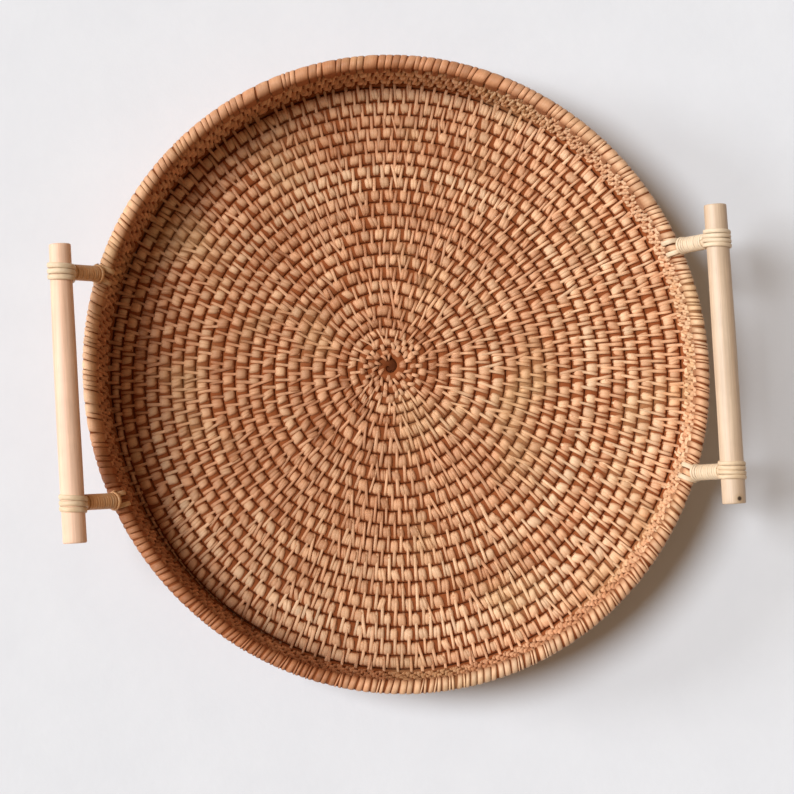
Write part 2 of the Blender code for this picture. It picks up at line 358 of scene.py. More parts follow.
def signed_volume(points, faces):
    total = 0.0
    for quad in faces:
        first = points[quad[:, 0]]
        for k in range(1, quad.shape[1] - 1):
            total += np.einsum(
                "ij,ij->", first, np.cross(points[quad[:, k]], points[quad[:, k + 1]])
            )
    return total


def add_object(name, data):
    obj = bpy.data.objects.new(name, data)
    bpy.context.scene.collection.objects.link(obj)
    return obj


def make_piece(name, shell, material, nodes):
    """Makes the gathered shell a smooth piece that stands for these CAD nodes."""
    points = np.concatenate(shell.points)
    faces = shell.faces
    if signed_volume(points, faces) < 0:
        faces = [face[:, ::-1] for face in faces]
    mesh = bpy.data.meshes.new(name)
    mesh.from_pydata((points * MM).tolist(), [], [f for face in faces for f in face.tolist()])
    # tone holds the strip's tone, a random brightness, and the painted shade
    for attribute, values in (("tone", shell.tone), ("grain", shell.grain)):
        layer = mesh.attributes.new(attribute, "FLOAT_VECTOR", "POINT")
        layer.data.foreach_set("vector", np.concatenate(values).astype(np.float32).ravel())
    mesh.shade_smooth()
    mesh.materials.append(material)
    obj = add_object(name, mesh)
    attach(obj, "root")
    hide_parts(*nodes)


# A wrap of cane round the core: two turns side by side, domed, closed at both ends
PAD_PLACES = np.array([-1.0, -0.87, -0.50, -0.13, 0.0, 0.13, 0.50, 0.87, 1.0])
PAD_SWELL = np.array([0.60, 0.86, 0.99, 1.0, 1.0, 1.0, 0.99, 0.86, 0.60])
PAD_SEAM = 4
PAD_SIDES = 12
PAD_SQUARENESS = 0.8


def add_pads(shell, stitches, tones, place, chosen, height, radius, loose):
    """place(angle, across, up, which) gives points; across is a share of the row's pitch, and
    loose is how unruly each pad is, from 0 to 1."""
    n = len(chosen)
    start, width = stitches.start[chosen], stitches.width[chosen]
    middle = start + (PAD_MIDDLE + 0.02 * rng.standard_normal(n)) * width
    half = (PAD_HALF + (0.028 + 0.03 * loose) * rng.standard_normal(n)) * width
    lean = 0.13 * rng.standard_normal(n) - 0.05
    swell = PAD_SWELL * np.ones((n, 1))
    seam = rng.uniform(0.0, 1.0, n) ** 2.5
    swell[:, PAD_SEAM] -= 0.01 + 0.09 * seam
    tall = height * (1.0 + (0.035 + 0.07 * loose) * rng.standard_normal(n))
    long = PAD_REACH * (1.0 - 0.18 * loose + (0.04 + 0.06 * loose) * rng.standard_normal(n))
    aside = 0.06 * loose * rng.standard_normal(n)
    turn, across, up = section(PAD_SIDES, PAD_SQUARENESS)
    places = PAD_PLACES[:, None]
    reach = each(long) * swell[:, :, None] * across
    rise = each(tall) * swell[:, :, None] * up
    along = each(half) * places - each(lean) * reach * ROW_PITCH / each(radius)
    points = place(each(middle) + along, reach + each(aside), rise, chosen)
    # Painted shade: darker down the pad's sides, at its ends where it dives to the core, and in the
    # groove between its two turns
    ends = 0.45 * np.abs(PAD_PLACES) ** 4 * np.ones((n, 1))
    ends[:, PAD_SEAM] = 0.45 * seam
    painted_shade = np.maximum(smooth((0.74 - np.abs(up)) / 0.7), ends[:, :, None])
    tone = stacked(each(tones[chosen]), each(rng.random(n)), painted_shade)
    grain = stacked(each(half) * each(radius) * places, 3.0 * turn, 50.0 * each(rng.random(n)))
    shell.add(points, grid_faces(n, len(PAD_PLACES), PAD_SIDES, False), tone, grain)


# A long stitch: a loop of flat cane round its own row and the one inside it. The paths are of its
# upper half, in rows from its beginning and in mm from the row's middle
LOOP_TOP = np.array(
    [(0.05, 0.8), (0.16, 1.95), (0.45, 2.66), (0.76, 2.46), (1.00, 2.08), (1.22, 2.42)]
    + [(1.50, 2.64), (1.80, 1.85), (1.92, 0.7)]
)
KNOT_TOP = np.array(
    [(0.66, 0.8), (0.71, 2.1), (0.85, 2.90), (1.02, 3.12), (1.19, 2.90), (1.33, 2.1), (1.38, 0.8)]
)
BAND = np.array([(-0.5, -0.12), (-0.30, 0.40), (0.30, 0.40), (0.5, -0.12), (0.0, -0.5)])


def add_loops(shell, begin, end, width, lift, tones, place, top, pitch, radius, which):
    """Loops of flat cane. begin and end are the angles of each loop's two ends; place(angle,
    along, up, which) gives points, with along in rows from the loop's beginning."""
    n = len(begin)
    path = np.concatenate([top, top[::-1] * (1, -1)])
    line = path * (pitch, 1.0)
    normals = closed_tangents(line)[:, ::-1] * (-1, 1)
    thickness = STRAND_THICKNESS * (1.0 + 0.08 * rng.standard_normal(n))
    offset = each(thickness) * BAND[:, 1]
    along = path[:, :1] + normals[:, :1] * offset / pitch
    up = path[:, 1:] + normals[:, 1:] * offset
    share = path[:, 0] / path[:, 0].max()
    middle = begin[:, None] + (end - begin)[:, None] * share
    angle = middle[:, :, None] + each(width) * BAND[:, 0] / each(radius)
    points = place(angle, along, up * each(lift), which)
    # Painted shade: darker where the strand dips between the rows, and a little on its underside
    painted_shade = smooth((2.3 - np.abs(path[:, 1:])) / 1.8)
    painted_shade = np.maximum(painted_shade, 0.12 * (BAND[:, 1] < 0))
    tone = stacked(each(tones), each(rng.random(n)), painted_shade)
    across = each(width) * BAND[:, 0]
    grain = stacked(across, arc_length(line)[:, None], 50.0 * each(rng.random(n)))
    shell.add(points, grid_faces(n, len(path), len(BAND), True), tone, grain)


def tube(shell, centres, outwards, upwards, profile, tone, closed=False, arc=None):
    """One swept tube. The profile lies along the two frame axes."""
    out, up = (np.broadcast_to(axis, centres.shape)[:, None] for axis in (outwards, upwards))
    rings, sides = len(centres), profile.shape[-2]
    points = centres[:, None] + profile[..., 0:1] * out + profile[..., 1:2] * up
    arc = arc_length(centres) if arc is None else arc
    turn = np.arange(sides) / sides
    grain = stacked(profile[..., 0] + 3.0 * turn, arc[:, None], 50.0 * tone[0])
    shell.add(points, grid_faces(1, rings, sides, closed), tone, grain)


# ---------------------------------------------------------------- materials


class Shader:
    """A Principled material and the few node calls that this scene uses."""

    def __init__(self, name, roughness, specular=0.5):
        self.material = bpy.data.materials.new(name)
        self.material.use_nodes = True
        self.tree = self.material.node_tree
        self.principled = self.tree.nodes["Principled BSDF"]
        self.principled.inputs["Roughness"].default_value = roughness
        self.principled.inputs["Specular IOR Level"].default_value = specular

    def put(self, socket, value):
        if isinstance(value, bpy.types.NodeSocket):
            self.tree.links.new(value, socket)
        else:
            socket.default_value = value

    def node(self, kind, sockets=(), **settings):
        """A new node with these settings, and these values or links put on its sockets."""
        made = self.tree.nodes.new(kind)
        for key, value in settings.items():
            setattr(made, key, value)
        for key, value in dict(sockets).items():
            self.put(made.inputs[key], value)
        return made

    def maths(self, operation, a, b=0.0, clamp=False):
        made = self.node("ShaderNodeMath", {0: a, 1: b}, operation=operation, use_clamp=clamp)
        return made.outputs[0]

    def split(self, vector):
        return self.node("ShaderNodeSeparateXYZ", {0: vector}).outputs

    def painted(self, attribute):
        source = self.node("ShaderNodeAttribute", attribute_name=attribute)
        return self.split(source.outputs["Vector"])

    def object_place(self):
        return self.node("ShaderNodeTexCoord").outputs["Object"]

    def stretch(self, parts, scales):
        """The vector of these parts, each times its own scale."""
        scaled = [
            part if scale == 1.0 else self.maths("MULTIPLY", part, scale)
            for part, scale in zip(parts, scales)
        ]
        return self.node("ShaderNodeCombineXYZ", enumerate(scaled)).outputs[0]

    def noise(self, vector, scale, detail=2.0, rough=0.5, distortion=0.0):
        sockets = {"Vector": vector, "Scale": scale, "Detail": detail, "Roughness": rough}
        sockets["Distortion"] = distortion
        return self.node("ShaderNodeTexNoise", sockets).outputs["Fac"]

    def remap(self, value, low, high, to_low=0.0, to_high=1.0):
        sockets = {"Value": value, "From Min": low, "From Max": high}
        sockets |= {"To Min": to_low, "To Max": to_high}
        return self.node("ShaderNodeMapRange", sockets).outputs["Result"]

    def ramp(self, value, stops):
        made = self.node("ShaderNodeValToRGB", {"Fac": value})
        elements = made.color_ramp.elements
        while len(elements) < len(stops):
            elements.new(0.5)
        for element, (at, colour) in zip(elements, stops):
            element.position = at
            element.color = (*colour, 1.0)
        return made.outputs["Color"]

    def mix(self, share, a, b, blend="MIX"):
        sockets = {"Factor": share, 6: a, 7: b}
        made = self.node("ShaderNodeMix", sockets, data_type="RGBA", blend_type=blend)
        return made.outputs[2]

    def lit(self, colour, light):
        """The colour, lighter or darker."""
        return self.mix(1.0, colour, self.stretch((light, light, light), (1.0, 1.0, 1.0)), "MULTIPLY")

    def bump(self, height, distance, strength=1.0):
        sockets = {"Distance": distance, "Strength": strength, "Height": height}
        made = self.node("ShaderNodeBump", sockets)
        self.put(self.principled.inputs["Normal"], made.outputs["Normal"])

    def colour(self, value):
        self.put(self.principled.inputs["Base Color"], value)


CANE_TONES = [
    (0.0, (0.395, 0.157, 0.067)),
    (0.25, (0.57, 0.262, 0.126)),
    (0.5, (0.70, 0.367, 0.194)),
    (0.75, (0.78, 0.458, 0.254)),
    (1.0, (0.84, 0.553, 0.333)),
]
# Painted shade: colours mixed into the cane strips where they dip out of sight, and into the core,
# darkest in the pit at the coil's start
CREVICE_SHADE = (0.27, 0.070, 0.017, 1.0)
PIT_SHADE = (0.07, 0.018, 0.006, 1.0)
OLIVE = (0.66, 0.44, 0.21, 1.0)


def cane_material(name, tones, crevice_shade, roughness, specular=0.25):
    """Split cane: long fibres, a tone for each strip, and painted shade where it dips out of sight.
    """
    made = Shader(name, roughness, specular)
    tone, light, shade_mask = made.painted("tone")
    grain = made.painted("grain")
    place = made.object_place()
    fibre = made.noise(made.stretch(grain, (3.2, 0.16, 1.0)), 1.0, 3.0, 0.6)
    thread = made.noise(made.stretch(grain, (9.0, 0.5, 1.0)), 1.0, 2.0, 0.6)
    patch = made.noise(place, 38.0, 2.0)
    blotch = made.noise(place, 210.0, 3.0, 0.6)
    shade = made.maths("ADD", tone, made.remap(patch, 0.3, 0.7, -0.12, 0.12))
    shade = made.maths("ADD", shade, made.remap(fibre, 0.3, 0.7, -0.13, 0.13), clamp=True)
    olive = made.remap(made.noise(place, 24.0, 2.0, 0.5), 0.56, 0.74, 0.0, 0.45)
    colour = made.mix(olive, made.ramp(shade, tones), OLIVE)
    light = made.remap(light, 0.0, 1.0, 0.86, 1.10)
    light = made.maths("MULTIPLY", light, made.remap(thread, 0.3, 0.7, 0.90, 1.06))
    light = made.maths("MULTIPLY", light, made.remap(blotch, 0.35, 0.72, 1.04, 0.88))
    # Painted shade: the crevice colour is mixed in as far as the third value of tone says the cane
    # lies deep
    painted_shade = made.maths("MULTIPLY", made.maths("POWER", shade_mask, 1.1), 0.9)
    made.colour(made.mix(painted_shade, made.lit(colour, light), crevice_shade))
    gloss = made.principled.inputs
    made.put(gloss["Roughness"], made.remap(thread, 0.3, 0.7, roughness - 0.08, roughness + 0.10))
    made.put(gloss["Specular IOR Level"], made.remap(shade_mask, 0.0, 0.6, specular, 0.05))
    made.bump(made.maths("ADD", fibre, made.maths("MULTIPLY", thread, 0.5)), 0.00022, 0.7)
    return made.material


PALE_CANE = [
    (0.0, (0.64, 0.280, 0.095)),
    (0.3, (0.74, 0.41, 0.185)),
    (0.6, (0.72, 0.53, 0.33)),
    (1.0, (0.80, 0.65, 0.46)),
]
# The core's dark brown is partly its stained inner strands and partly painted shade for the gaps
# between the stitches where it shows
CORE_TONES = [
    (0.0, (0.26, 0.068, 0.019)),
    (0.6, (0.35, 0.098, 0.029)),
    (1.0, (0.44, 0.145, 0.050)),
]
# Painted shade colours of the handles' cane where it lies deep
LASHING_CREVICE_SHADE = (0.30, 0.15, 0.06, 1.0)
POST_CREVICE_SHADE = (0.25, 0.14, 0.06, 1.0)
PEACH_WOOD = ((0.90, 0.61, 0.425, 1.0), (0.82, 0.51, 0.33, 1.0))  # pale, then dark
CREAM_WOOD = ((0.69, 0.525, 0.365, 1.0), (0.62, 0.44, 0.285, 1.0))
PORE = (0.33, 0.20, 0.10, 1.0)
KNOT = (0.1521, -0.0677, 0.0654)  # on the right stick, in metres
KNOT_HALO = (0.42, 0.27, 0.13, 1.0)
KNOT_PIT = (0.06, 0.035, 0.02, 1.0)


def wood_material(name, pale, dark, knot=None):
    """Peeled straight-grained stick: fine lines along it, faint stains, and a few pores."""
    made = Shader(name, 0.5)
    place = made.object_place()
    parts = made.split(place)
    slow = made.stretch(parts, (300.0, 9.0, 300.0))
    fast = made.stretch(parts, (1500.0, 34.0, 1500.0))
    broad = made.noise(slow, 1.0, 3.0, 0.6, 0.4)
    line = made.noise(fast, 1.0, 3.0, 0.65)
    stain = made.noise(place, 55.0, 3.0, 0.6)
    light = made.remap(line, 0.3, 0.7, 0.86, 1.06)
    light = made.maths("MULTIPLY", light, made.remap(stain, 0.3, 0.75, 1.03, 0.90))
    colour = made.lit(made.mix(made.remap(broad, 0.32, 0.68), dark, pale), light)
    pore = made.remap(made.noise(fast, 2.6, 1.0), 0.68, 0.76)
    colour = made.mix(made.maths("MULTIPLY", pore, 0.35), colour, PORE)
    if knot:
        sockets = {0: place, 1: knot}
        away = made.node("ShaderNodeVectorMath", sockets, operation="DISTANCE").outputs["Value"]
        colour = made.mix(made.remap(away, 0.0008, 0.0030, 0.55, 0.0), colour, KNOT_HALO)
        colour = made.mix(made.remap(away, 0.0007, 0.0013, 1.0, 0.0), colour, KNOT_PIT)
    made.colour(colour)
    made.put(made.principled.inputs["Roughness"], made.remap(line, 0.3, 0.7, 0.42, 0.60))
    made.bump(made.maths("ADD", line, made.maths("MULTIPLY", broad, 0.6)), 0.00018, 0.6)
    return made.material


# ---------------------------------------------------------------- the base


def spiral_place(stitches, first, slide=np.zeros(1)):
    """Points over the spiral. along is in rows from first, which is in rows from the stitch's own,
    and slide shifts each stitch across the rows."""

    def place(angle, along, up, which):
        middle = each(stitches.start[which])
        share = turn_share(middle) + (angle - middle) / TAU
        turn = angle / TAU + first + (along + each(slide))
        return base_point(angle, turn, up, share, LAST_TURN + share - 0.5)

    return place


def edge_pads_place(stitches):
    def place(angle, across, up, which):
        share = turn_share(angle)
        inner = LAST_TURN + share - 0.5
        return base_point(angle, inner + 1.5 + across, up, share, inner)

    return place


def edge_loops_place(stitches):
    def place(angle, along, up, which):
        middle = each(stitches.start[which])
        share = turn_share(middle) + (angle - middle) / TAU
        inner = LAST_TURN + share - 0.5
        return base_point(angle, inner + along, up, share, inner)

    return place


TIGHT_TURN = 0.40  # where round the tray the stitches are tightest, in turns from +X


def thinning(turn):
    """The coil is thinner at the eye and where its end tapers."""
    eye = 0.84 + 0.16 * smooth((turn + 0.3) / 5.0)
    start = 0.25 + 0.75 * smooth((turn + 1.25) / 0.9)
    end = 0.35 + 0.65 * last_row_width(np.clip(turn - LAST_TURN, 0.0, 1.0)) / ROW_PITCH
    return eye * start * end


def tightness(turn):
    """How tightly the stitches are pulled here, from 0 to 1."""
    return smooth(0.5 + np.cos(TAU * (turn - TIGHT_TURN))) * smooth((turn - 2.0) / 3.0)


def strand_lift(turn):
    """Stitches follow the thinner coil in the eye, the first long ones lie sunk, and those at
    the back left are pulled tighter than the rest."""
    sunk = smooth((turn - FIRST_STRANDS + 0.1) / 0.1) * (1.0 - smooth((turn - FIRST_STRANDS) / 2.0))
    return thinning(turn) * (1.0 - 0.14 * sunk - 0.13 * tightness(turn))


def uneven(count):
    """Some stitches are pulled tight and lie low, and some stand up."""
    return 1.0 + np.clip(0.06 * rng.standard_normal(count), -0.10, 0.14)


def core_section():
    """A flattened, square-shouldered section that meets the rows beside it."""
    turn, across, up = section(CORE_SIDES, CORE_SQUARENESS)
    return turn, CORE_ACROSS * across, CORE_HEIGHT * up


def coil_core(first, last, material, name, node):
    turn = np.linspace(first, last, max(12, int((last - first) * CORE_STEPS)) + 1)
    angle = turn * TAU
    share = np.where(turn > LAST_TURN, turn - LAST_TURN, turn_share(angle))[:, None]
    inner = LAST_TURN + share - 0.5
    phase, across, up = core_section()
    inside = np.maximum(-CORE_ACROSS, -turn - FIRST_TURN_RADIUS / EYE_ROW_PITCH)
    inside = np.minimum(inside, CORE_ACROSS - 0.01)[:, None]
    across = np.where(across < 0, -across * inside / CORE_ACROSS, across)
    height = up * thinning(turn)[:, None]
    points = base_point(angle[:, None], turn[:, None] + across, height, share, inner)
    arc = np.concatenate([[0.0], np.cumsum(TAU * spiral_radius(turn[1:]) * np.diff(turn))])
    # Painted shade: a little over the whole core, and dark in the pit where the coil starts
    painted_shade = 0.2 + 0.8 * (1.0 - smooth((turn + 1.0) / 0.7))
    tone = stacked(0.5, 0.5, painted_shade[:, None] + 0 * phase)
    grain = stacked(1.8 * phase, arc[:, None], 3.0)
    shell = Shell()
    shell.add(points, grid_faces(1, len(turn), CORE_SIDES, False), tone, grain)
    make_piece(name, shell, material, [node])


def add_spiral_loops(shell, spiral, tones, chosen):
    """Long stitches back to the row inside, and short knobbly ones in the eye."""
    for low, high, top, broad, wander in (
        (FIRST_KNOTS, FIRST_STRANDS, KNOT_TOP, 1.75, 0.13),
        (FIRST_STRANDS, 99.0, LOOP_TOP, 1.0, 0.0),
    ):
        bound = chosen[(spiral.turn[chosen] >= low) & (spiral.turn[chosen] < high)]
        if not len(bound):
            continue
        count, turn = len(bound), spiral.turn[bound]
        width = broad * STRAND_WIDTH * (1.0 + 0.10 * rng.standard_normal(count))
        width *= 0.82 + 0.18 * smooth((turn - 1.0) / 4.0)
        end = STRAND_IN + 0.03 * rng.standard_normal(count)
        end = spiral.start[bound] + end * spiral.width[bound]
        lift = strand_lift(turn) * uneven(count)
        place = spiral_place(spiral, -1.5, wander * rng.standard_normal(count))
        # Painted shade: the strands at the back left are darker, where they are pulled tighter
        tone = np.clip(tones[bound] + 0.02 - 0.2 * tightness(turn), 0.0, 1.0)
        add_loops(
            shell, spiral.anchor[bound], end, width, lift, tone, place, top, ROW_PITCH,
            spiral_radius(turn), bound,
        )


def add_level_row(shell, row, tones, paler, pads_place, loops_place, pitch):
    """A closed row of stitches, with its strands a little paler than its pads."""
    every = np.arange(row.count)
    wide = np.full(row.count, COIL_RADIUS)
    tall = np.full(row.count, PAD_HEIGHT)
    add_pads(shell, row, tones, pads_place, every, tall, wide, 0.0)
    width = STRAND_WIDTH * (1.0 + 0.10 * rng.standard_normal(row.count))
    end = row.start + STRAND_IN * row.width
    add_loops(
        shell, row.anchor, end, width, uneven(row.count), np.clip(tones + paler, 0.0, 1.0),
        loops_place, LOOP_TOP, pitch, wide, every,
    )


PIECE_TURNS = [COIL_START - 1, 4.5, 8.5, 11.5, 13.9, 15.8, 17.5, 19.1, 30]  # of base_weave_1 to 8
CORE_TURNS = [CORE_START, 9.0, 15.5, LAST_TURN + LAST_TURN_END + 0.01]


def make_base(strip, core):
    spiral = lay_spiral()
    tones = strip_tones(spiral.count) - 0.32 * (1.0 - smooth(spiral.turn / 4.0))
    # Painted light and shade: paler towards the front right and in the outer rows, most on the right,
    # and darker towards the back left
    tones += painted_light_to_front_right(spiral.start) * spiral.turn / LAST_TURN
    tones += 0.14 * smooth((spiral.turn - 11.0) / 9.0) * (0.9 + 0.6 * np.cos(spiral.start))
    tones = np.clip(tones, 0.0, 1.0)
    edge = lay_edge(spiral)
    # Painted light and shade: the edge row is paler on the right and darker on the left
    edge_tones = strip_tones(edge.count) + 0.04 + 0.20 * np.cos(edge.start - 0.2)
    edge_tones = np.clip(edge_tones, 0.0, 1.0)
    for number, (low, high) in enumerate(zip(PIECE_TURNS, PIECE_TURNS[1:]), start=1):
        chosen = np.flatnonzero((spiral.turn >= max(low, PADS_START)) & (spiral.turn < high))
        turn = spiral.turn[chosen]
        height = PAD_HEIGHT * thinning(turn)
        loose = 1.0 - smooth((turn + 0.3) / 3.0)
        shell = Shell()
        place = spiral_place(spiral, 0.0)
        add_pads(shell, spiral, tones, place, chosen, height, spiral_radius(turn), loose)
        add_spiral_loops(shell, spiral, tones, chosen)
        if high == PIECE_TURNS[-1]:
            places = edge_pads_place(edge), edge_loops_place(edge)
            add_level_row(shell, edge, edge_tones, 0.05, *places, ROW_PITCH)
        make_piece(f"base_weave_{number}", shell, strip, ["base_stitching"])
    for part, low, high in zip(("inner", "middle", "outer"), CORE_TURNS, CORE_TURNS[1:]):
        coil_core(low, high, core, f"base_coil_{part}", f"base_core_{part}")
    return edge


# ---------------------------------------------------------------- the side


def side_place(first):
    """Points over the side. along is in rows from first."""

    def place(angle, along, up, which):
        return side_point(angle, first + along, up)

    return place


def ring_core(name, row, material, node):
    """A level coil. Row 0 turns the corner: it meets the base inwards and the side above."""
    angle = TAU * np.arange(RING_STEPS) / RING_STEPS
    phase, across, up = core_section()
    if row == 0:
        up = np.where(up < 0, up * CORE_ACROSS * ROW_PITCH / CORE_HEIGHT, up)
        across = np.where(across < 0, across * CORE_HEIGHT / (CORE_ACROSS * SIDE_PITCH), across)
    points = side_point(angle[:, None], row + across, up)
    arc = np.minimum(angle, TAU - angle)[:, None] * COIL_RADIUS
    grain = stacked(1.8 * phase, arc, 3.0 + row)
    shell = Shell()
    # The core is given a little painted shade all over
    shell.add(points, grid_faces(1, RING_STEPS, CORE_SIDES, True), (0.5, 0.5, 0.2), grain)
    make_piece(name, shell, material, [node])


def make_side(edge, strip, core):
    rows = lay_side(edge)
    for row in range(1, SIDE_ROWS + 1):
        stitches = rows[row]
        # Painted light and shade: the side is paler on the right and darker on the left
        tones = strip_tones(stitches.count) - 0.05 + 0.42 * np.cos(stitches.start - 0.6)
        shell = Shell()
        places = side_place(row), side_place(row - 1.5)
        add_level_row(shell, stitches, tones, 0.04, *places, SIDE_PITCH)
        make_piece(f"side_weave_{row}", shell, strip, ["side_stitching"])
        ring_core(f"side_coil_{row}", row, core, f"side_core_{row}")
    ring_core("base_coil_edge", 0, core, "base_core_outer")


# ---------------------------------------------------------------- the rim

WRAP_BAND = np.array(
    [(-0.5, -0.22), (-0.40, 0.22), (-0.15, 0.47), (0.15, 0.47), (0.40, 0.22), (0.5, -0.22)]
    + [(0.0, -0.5)]
)
# Widths of the strips in one slot of the rim, where it is rougher and where it is smoother
WRAP_PATTERNS = (
    (2.9, 2.9), (2.9, 1.3, 2.2), (2.6, 3.1), (3.2, 1.3, 1.9), (2.3, 2.2, 1.4), (3.3, 2.8),
)
SMOOTH_PATTERNS = ((3.3, 3.2), (2.6, 2.3, 1.7), (4.3, 2.2), (6.3,), (2.4, 4.0))
GROUP_GAP = 0.4
WRAP_SLANT = 0.24
WRAP_THICKNESS = 0.85
HOOP_RADIUS = 3.0
SHADED_RIM = -2.36  # where round the rim painted shade darkens the cane most, and where painted light makes it palest, in radians
RIM_PAINTED_LIGHT = -1.5


def rim_path(long):
    """Round the hoop, or round the hoop and the side's top row. Columns: outwards, z."""
    turn = np.radians(np.linspace(-22.0, 202.0, 15)) if long else TAU * np.arange(20) / 20
    radius = RIM_SECTION_RADIUS - WRAP_THICKNESS / 2
    ring = np.stack([radius * np.cos(turn), radius * np.sin(turn)], 1)
    ring += (RIM_CENTRE_RADIUS, RIM_CENTRE_Z)
    if not long:
        return ring
    below = [(-3.0, 0.0), (-2.3, -2.2), (-0.6, -3.1), (0.6, -3.1), (2.3, -2.2), (3.0, 0.0)]
    top_row = (COIL_RADIUS, BASE_MIDDLE + SIDE_PITCH * SIDE_ROWS)
    return np.concatenate([ring, np.array(below) + top_row])


def add_wraps(shell, angle, width, edge_shades, tones, long):
    """Strips of cane round the rim, with painted shade at each strip's two edges, as much as given
    for each, and along the rim's inner side.
    """
    n = len(angle)
    path = rim_path(long)
    outwards, height = path[:, :1], path[:, 1:]
    normal = closed_tangents(path)[:, ::-1] * (1, -1)
    across, up = WRAP_BAND[:, 0], WRAP_BAND[:, 1]
    thickness = WRAP_THICKNESS * (1.0 + 0.10 * rng.standard_normal(n))
    crown = np.interp(width, (1.2, 2.0, 4.0), (0.95, 0.72, 0.6))
    offset = each(thickness * crown) * up
    slant = WRAP_SLANT * (1.0 + 0.25 * rng.standard_normal(n))
    swing = -each(slant) * (outwards - RIM_CENTRE_RADIUS) / RIM_CENTRE_RADIUS
    theta = each(angle) + swing + each(width) * across / RIM_CENTRE_RADIUS
    out = outwards + normal[:, :1] * offset
    points = plan_point(out, theta, height + normal[:, 1:] * offset)
    # Painted shade: the seams at each strip's edges, and the rim's inner side, which faces away from
    # the light
    left = np.clip(-across / 0.45, 0.0, 1.0) ** 4
    right = np.clip(across / 0.45, 0.0, 1.0) ** 4
    painted_shade = edge_shades[:, :1] * left + edge_shades[:, 1:] * right
    inside = 0.7 * smooth((RIM_CENTRE_RADIUS - outwards) / 3.0 - 0.25)
    painted_shade = np.maximum(painted_shade[:, None, :], inside)
    tone = stacked(each(tones), each(rng.random(n)), painted_shade)
    arc = arc_length(path)[:, None]
    grain = stacked(each(width) * across, arc, 50.0 * each(rng.random(n)))
    shell.add(points, grid_faces(n, len(path), len(WRAP_BAND), True), tone, grain)


def lay_rim():
    """Every strip round the rim: its angle, width, whether it also binds the side, and the painted
    shade at its two edges.
    """
    angles, widths, binds, edge_shades = [], [], [], []
    slot = TAU / RIM_SLOTS
    for index in range(RIM_SLOTS):
        smoothness = smooth(0.5 + 1.2 * math.sin(slot * index - 0.5))
        choices = SMOOTH_PATTERNS if rng.random() < smoothness else WRAP_PATTERNS
        pattern = choices[int(rng.integers(len(choices)))]
        shares = np.array(pattern) * (1.0 + 0.06 * rng.standard_normal(len(pattern)))
        gap = GROUP_GAP * (1.0 - 0.65 * smoothness) * rng.uniform(0.6, 1.4)
        shares *= (slot * RIM_CENTRE_RADIUS - gap) / shares.sum()
        at = slot * index * RIM_CENTRE_RADIUS + 0.15 * rng.standard_normal()
        apart = 0.34 * (1.0 - smoothness)
        # Painted shade at the strips' edges: most at a group's outer edges, and less where the rim is
        # smoother
        edge, inner = 0.75 - 0.3 * smoothness, 0.40 - 0.32 * smoothness
        for place, width in enumerate(shares):
            last = place == len(shares) - 1
            angles.append((at + width / 2) / RIM_CENTRE_RADIUS)
            widths.append(width - apart * rng.uniform(0.6, 1.4))
            binds.append(last)
            edge_shades.append((edge if place == 0 else inner, edge if last else inner))
            at += width
    return (np.array(values) for values in (angles, widths, binds, edge_shades))


def make_rim(strip, core):
    angles, widths, binds, edge_shades = lay_rim()
    tones = strip_tones(len(angles), RIM_STRIP_RUN) * 0.6 + 0.40
    # Painted light and shade round the rim: paler at the left, the right and the front, darker at the
    # back and darkest at the front left
    tones += 0.2 * np.cos(2.0 * angles) - 0.2 * np.sin(angles)
    tones -= 0.85 * smooth((np.cos(angles - SHADED_RIM) - 0.72) / 0.2)
    tones += 0.2 * smooth((np.cos(angles - RIM_PAINTED_LIGHT) - 0.8) / 0.2)
    tones = np.clip(tones, 0.0, 1.0)
    shell = Shell()
    for long, chosen in ((False, ~binds), (True, binds)):
        add_wraps(shell, angles[chosen], widths[chosen], edge_shades[chosen], tones[chosen], long)
    make_piece("rim_wrapping", shell, strip, ["rim_binding"])
    angle = TAU * np.arange(RING_STEPS)[:, None] / RING_STEPS
    phase, across, up = section(CORE_SIDES)
    out, height = RIM_CENTRE_RADIUS + HOOP_RADIUS * across, RIM_CENTRE_Z + HOOP_RADIUS * up
    grain = stacked(3.0 * phase, np.minimum(angle, TAU - angle) * COIL_RADIUS, 9.0)
    faces = grid_faces(1, RING_STEPS, CORE_SIDES, True)
    hoop = Shell()
    # The hoop is given some painted shade all over
    hoop.add(plan_point(out, angle, height), faces, (0.5, 0.5, 0.4), grain)
    make_piece("rim_hoop_cane", hoop, core, ["rim_hoop"])


# ---------------------------------------------------------------- the handles


def rim_frame(y, side):
    """Middle of the rim at y, and its axes outwards and along."""
    angle = 0.0 if side > 0 else math.pi
    for _ in range(6):
        reach = RIM_CENTRE_RADIUS * (1.0 - DIAGONAL_BULGE * math.sin(2 * angle))
        angle = math.asin(y / reach)
        angle = math.pi - angle if side < 0 else angle
    before, centre, after = (
        plan_point(RIM_CENTRE_RADIUS, angle + step, RIM_CENTRE_Z) for step in (-0.01, 0.0, 0.01)
    )
    along = unit(after - before)
    outwards = np.cross(along, (0.0, 0.0, 1.0))
    return centre, outwards, along


def handle_posts():
    posts = []
    for handle, facts in HANDLES.items():
        for end, sign in (("back", 1), ("front", -1)):
            y = facts["posts_y"] + sign * POST_SPACING / 2
            posts.append((f"{handle}_{end}", facts["side"], y))
    return posts


def strip_section(width, thickness, sides, squareness):
    """A flat strip's section, with rounded edges."""
    _, across, up = section(sides, squareness, 0.5)
    return stacked(width / 2 * across, thickness / 2 * up)


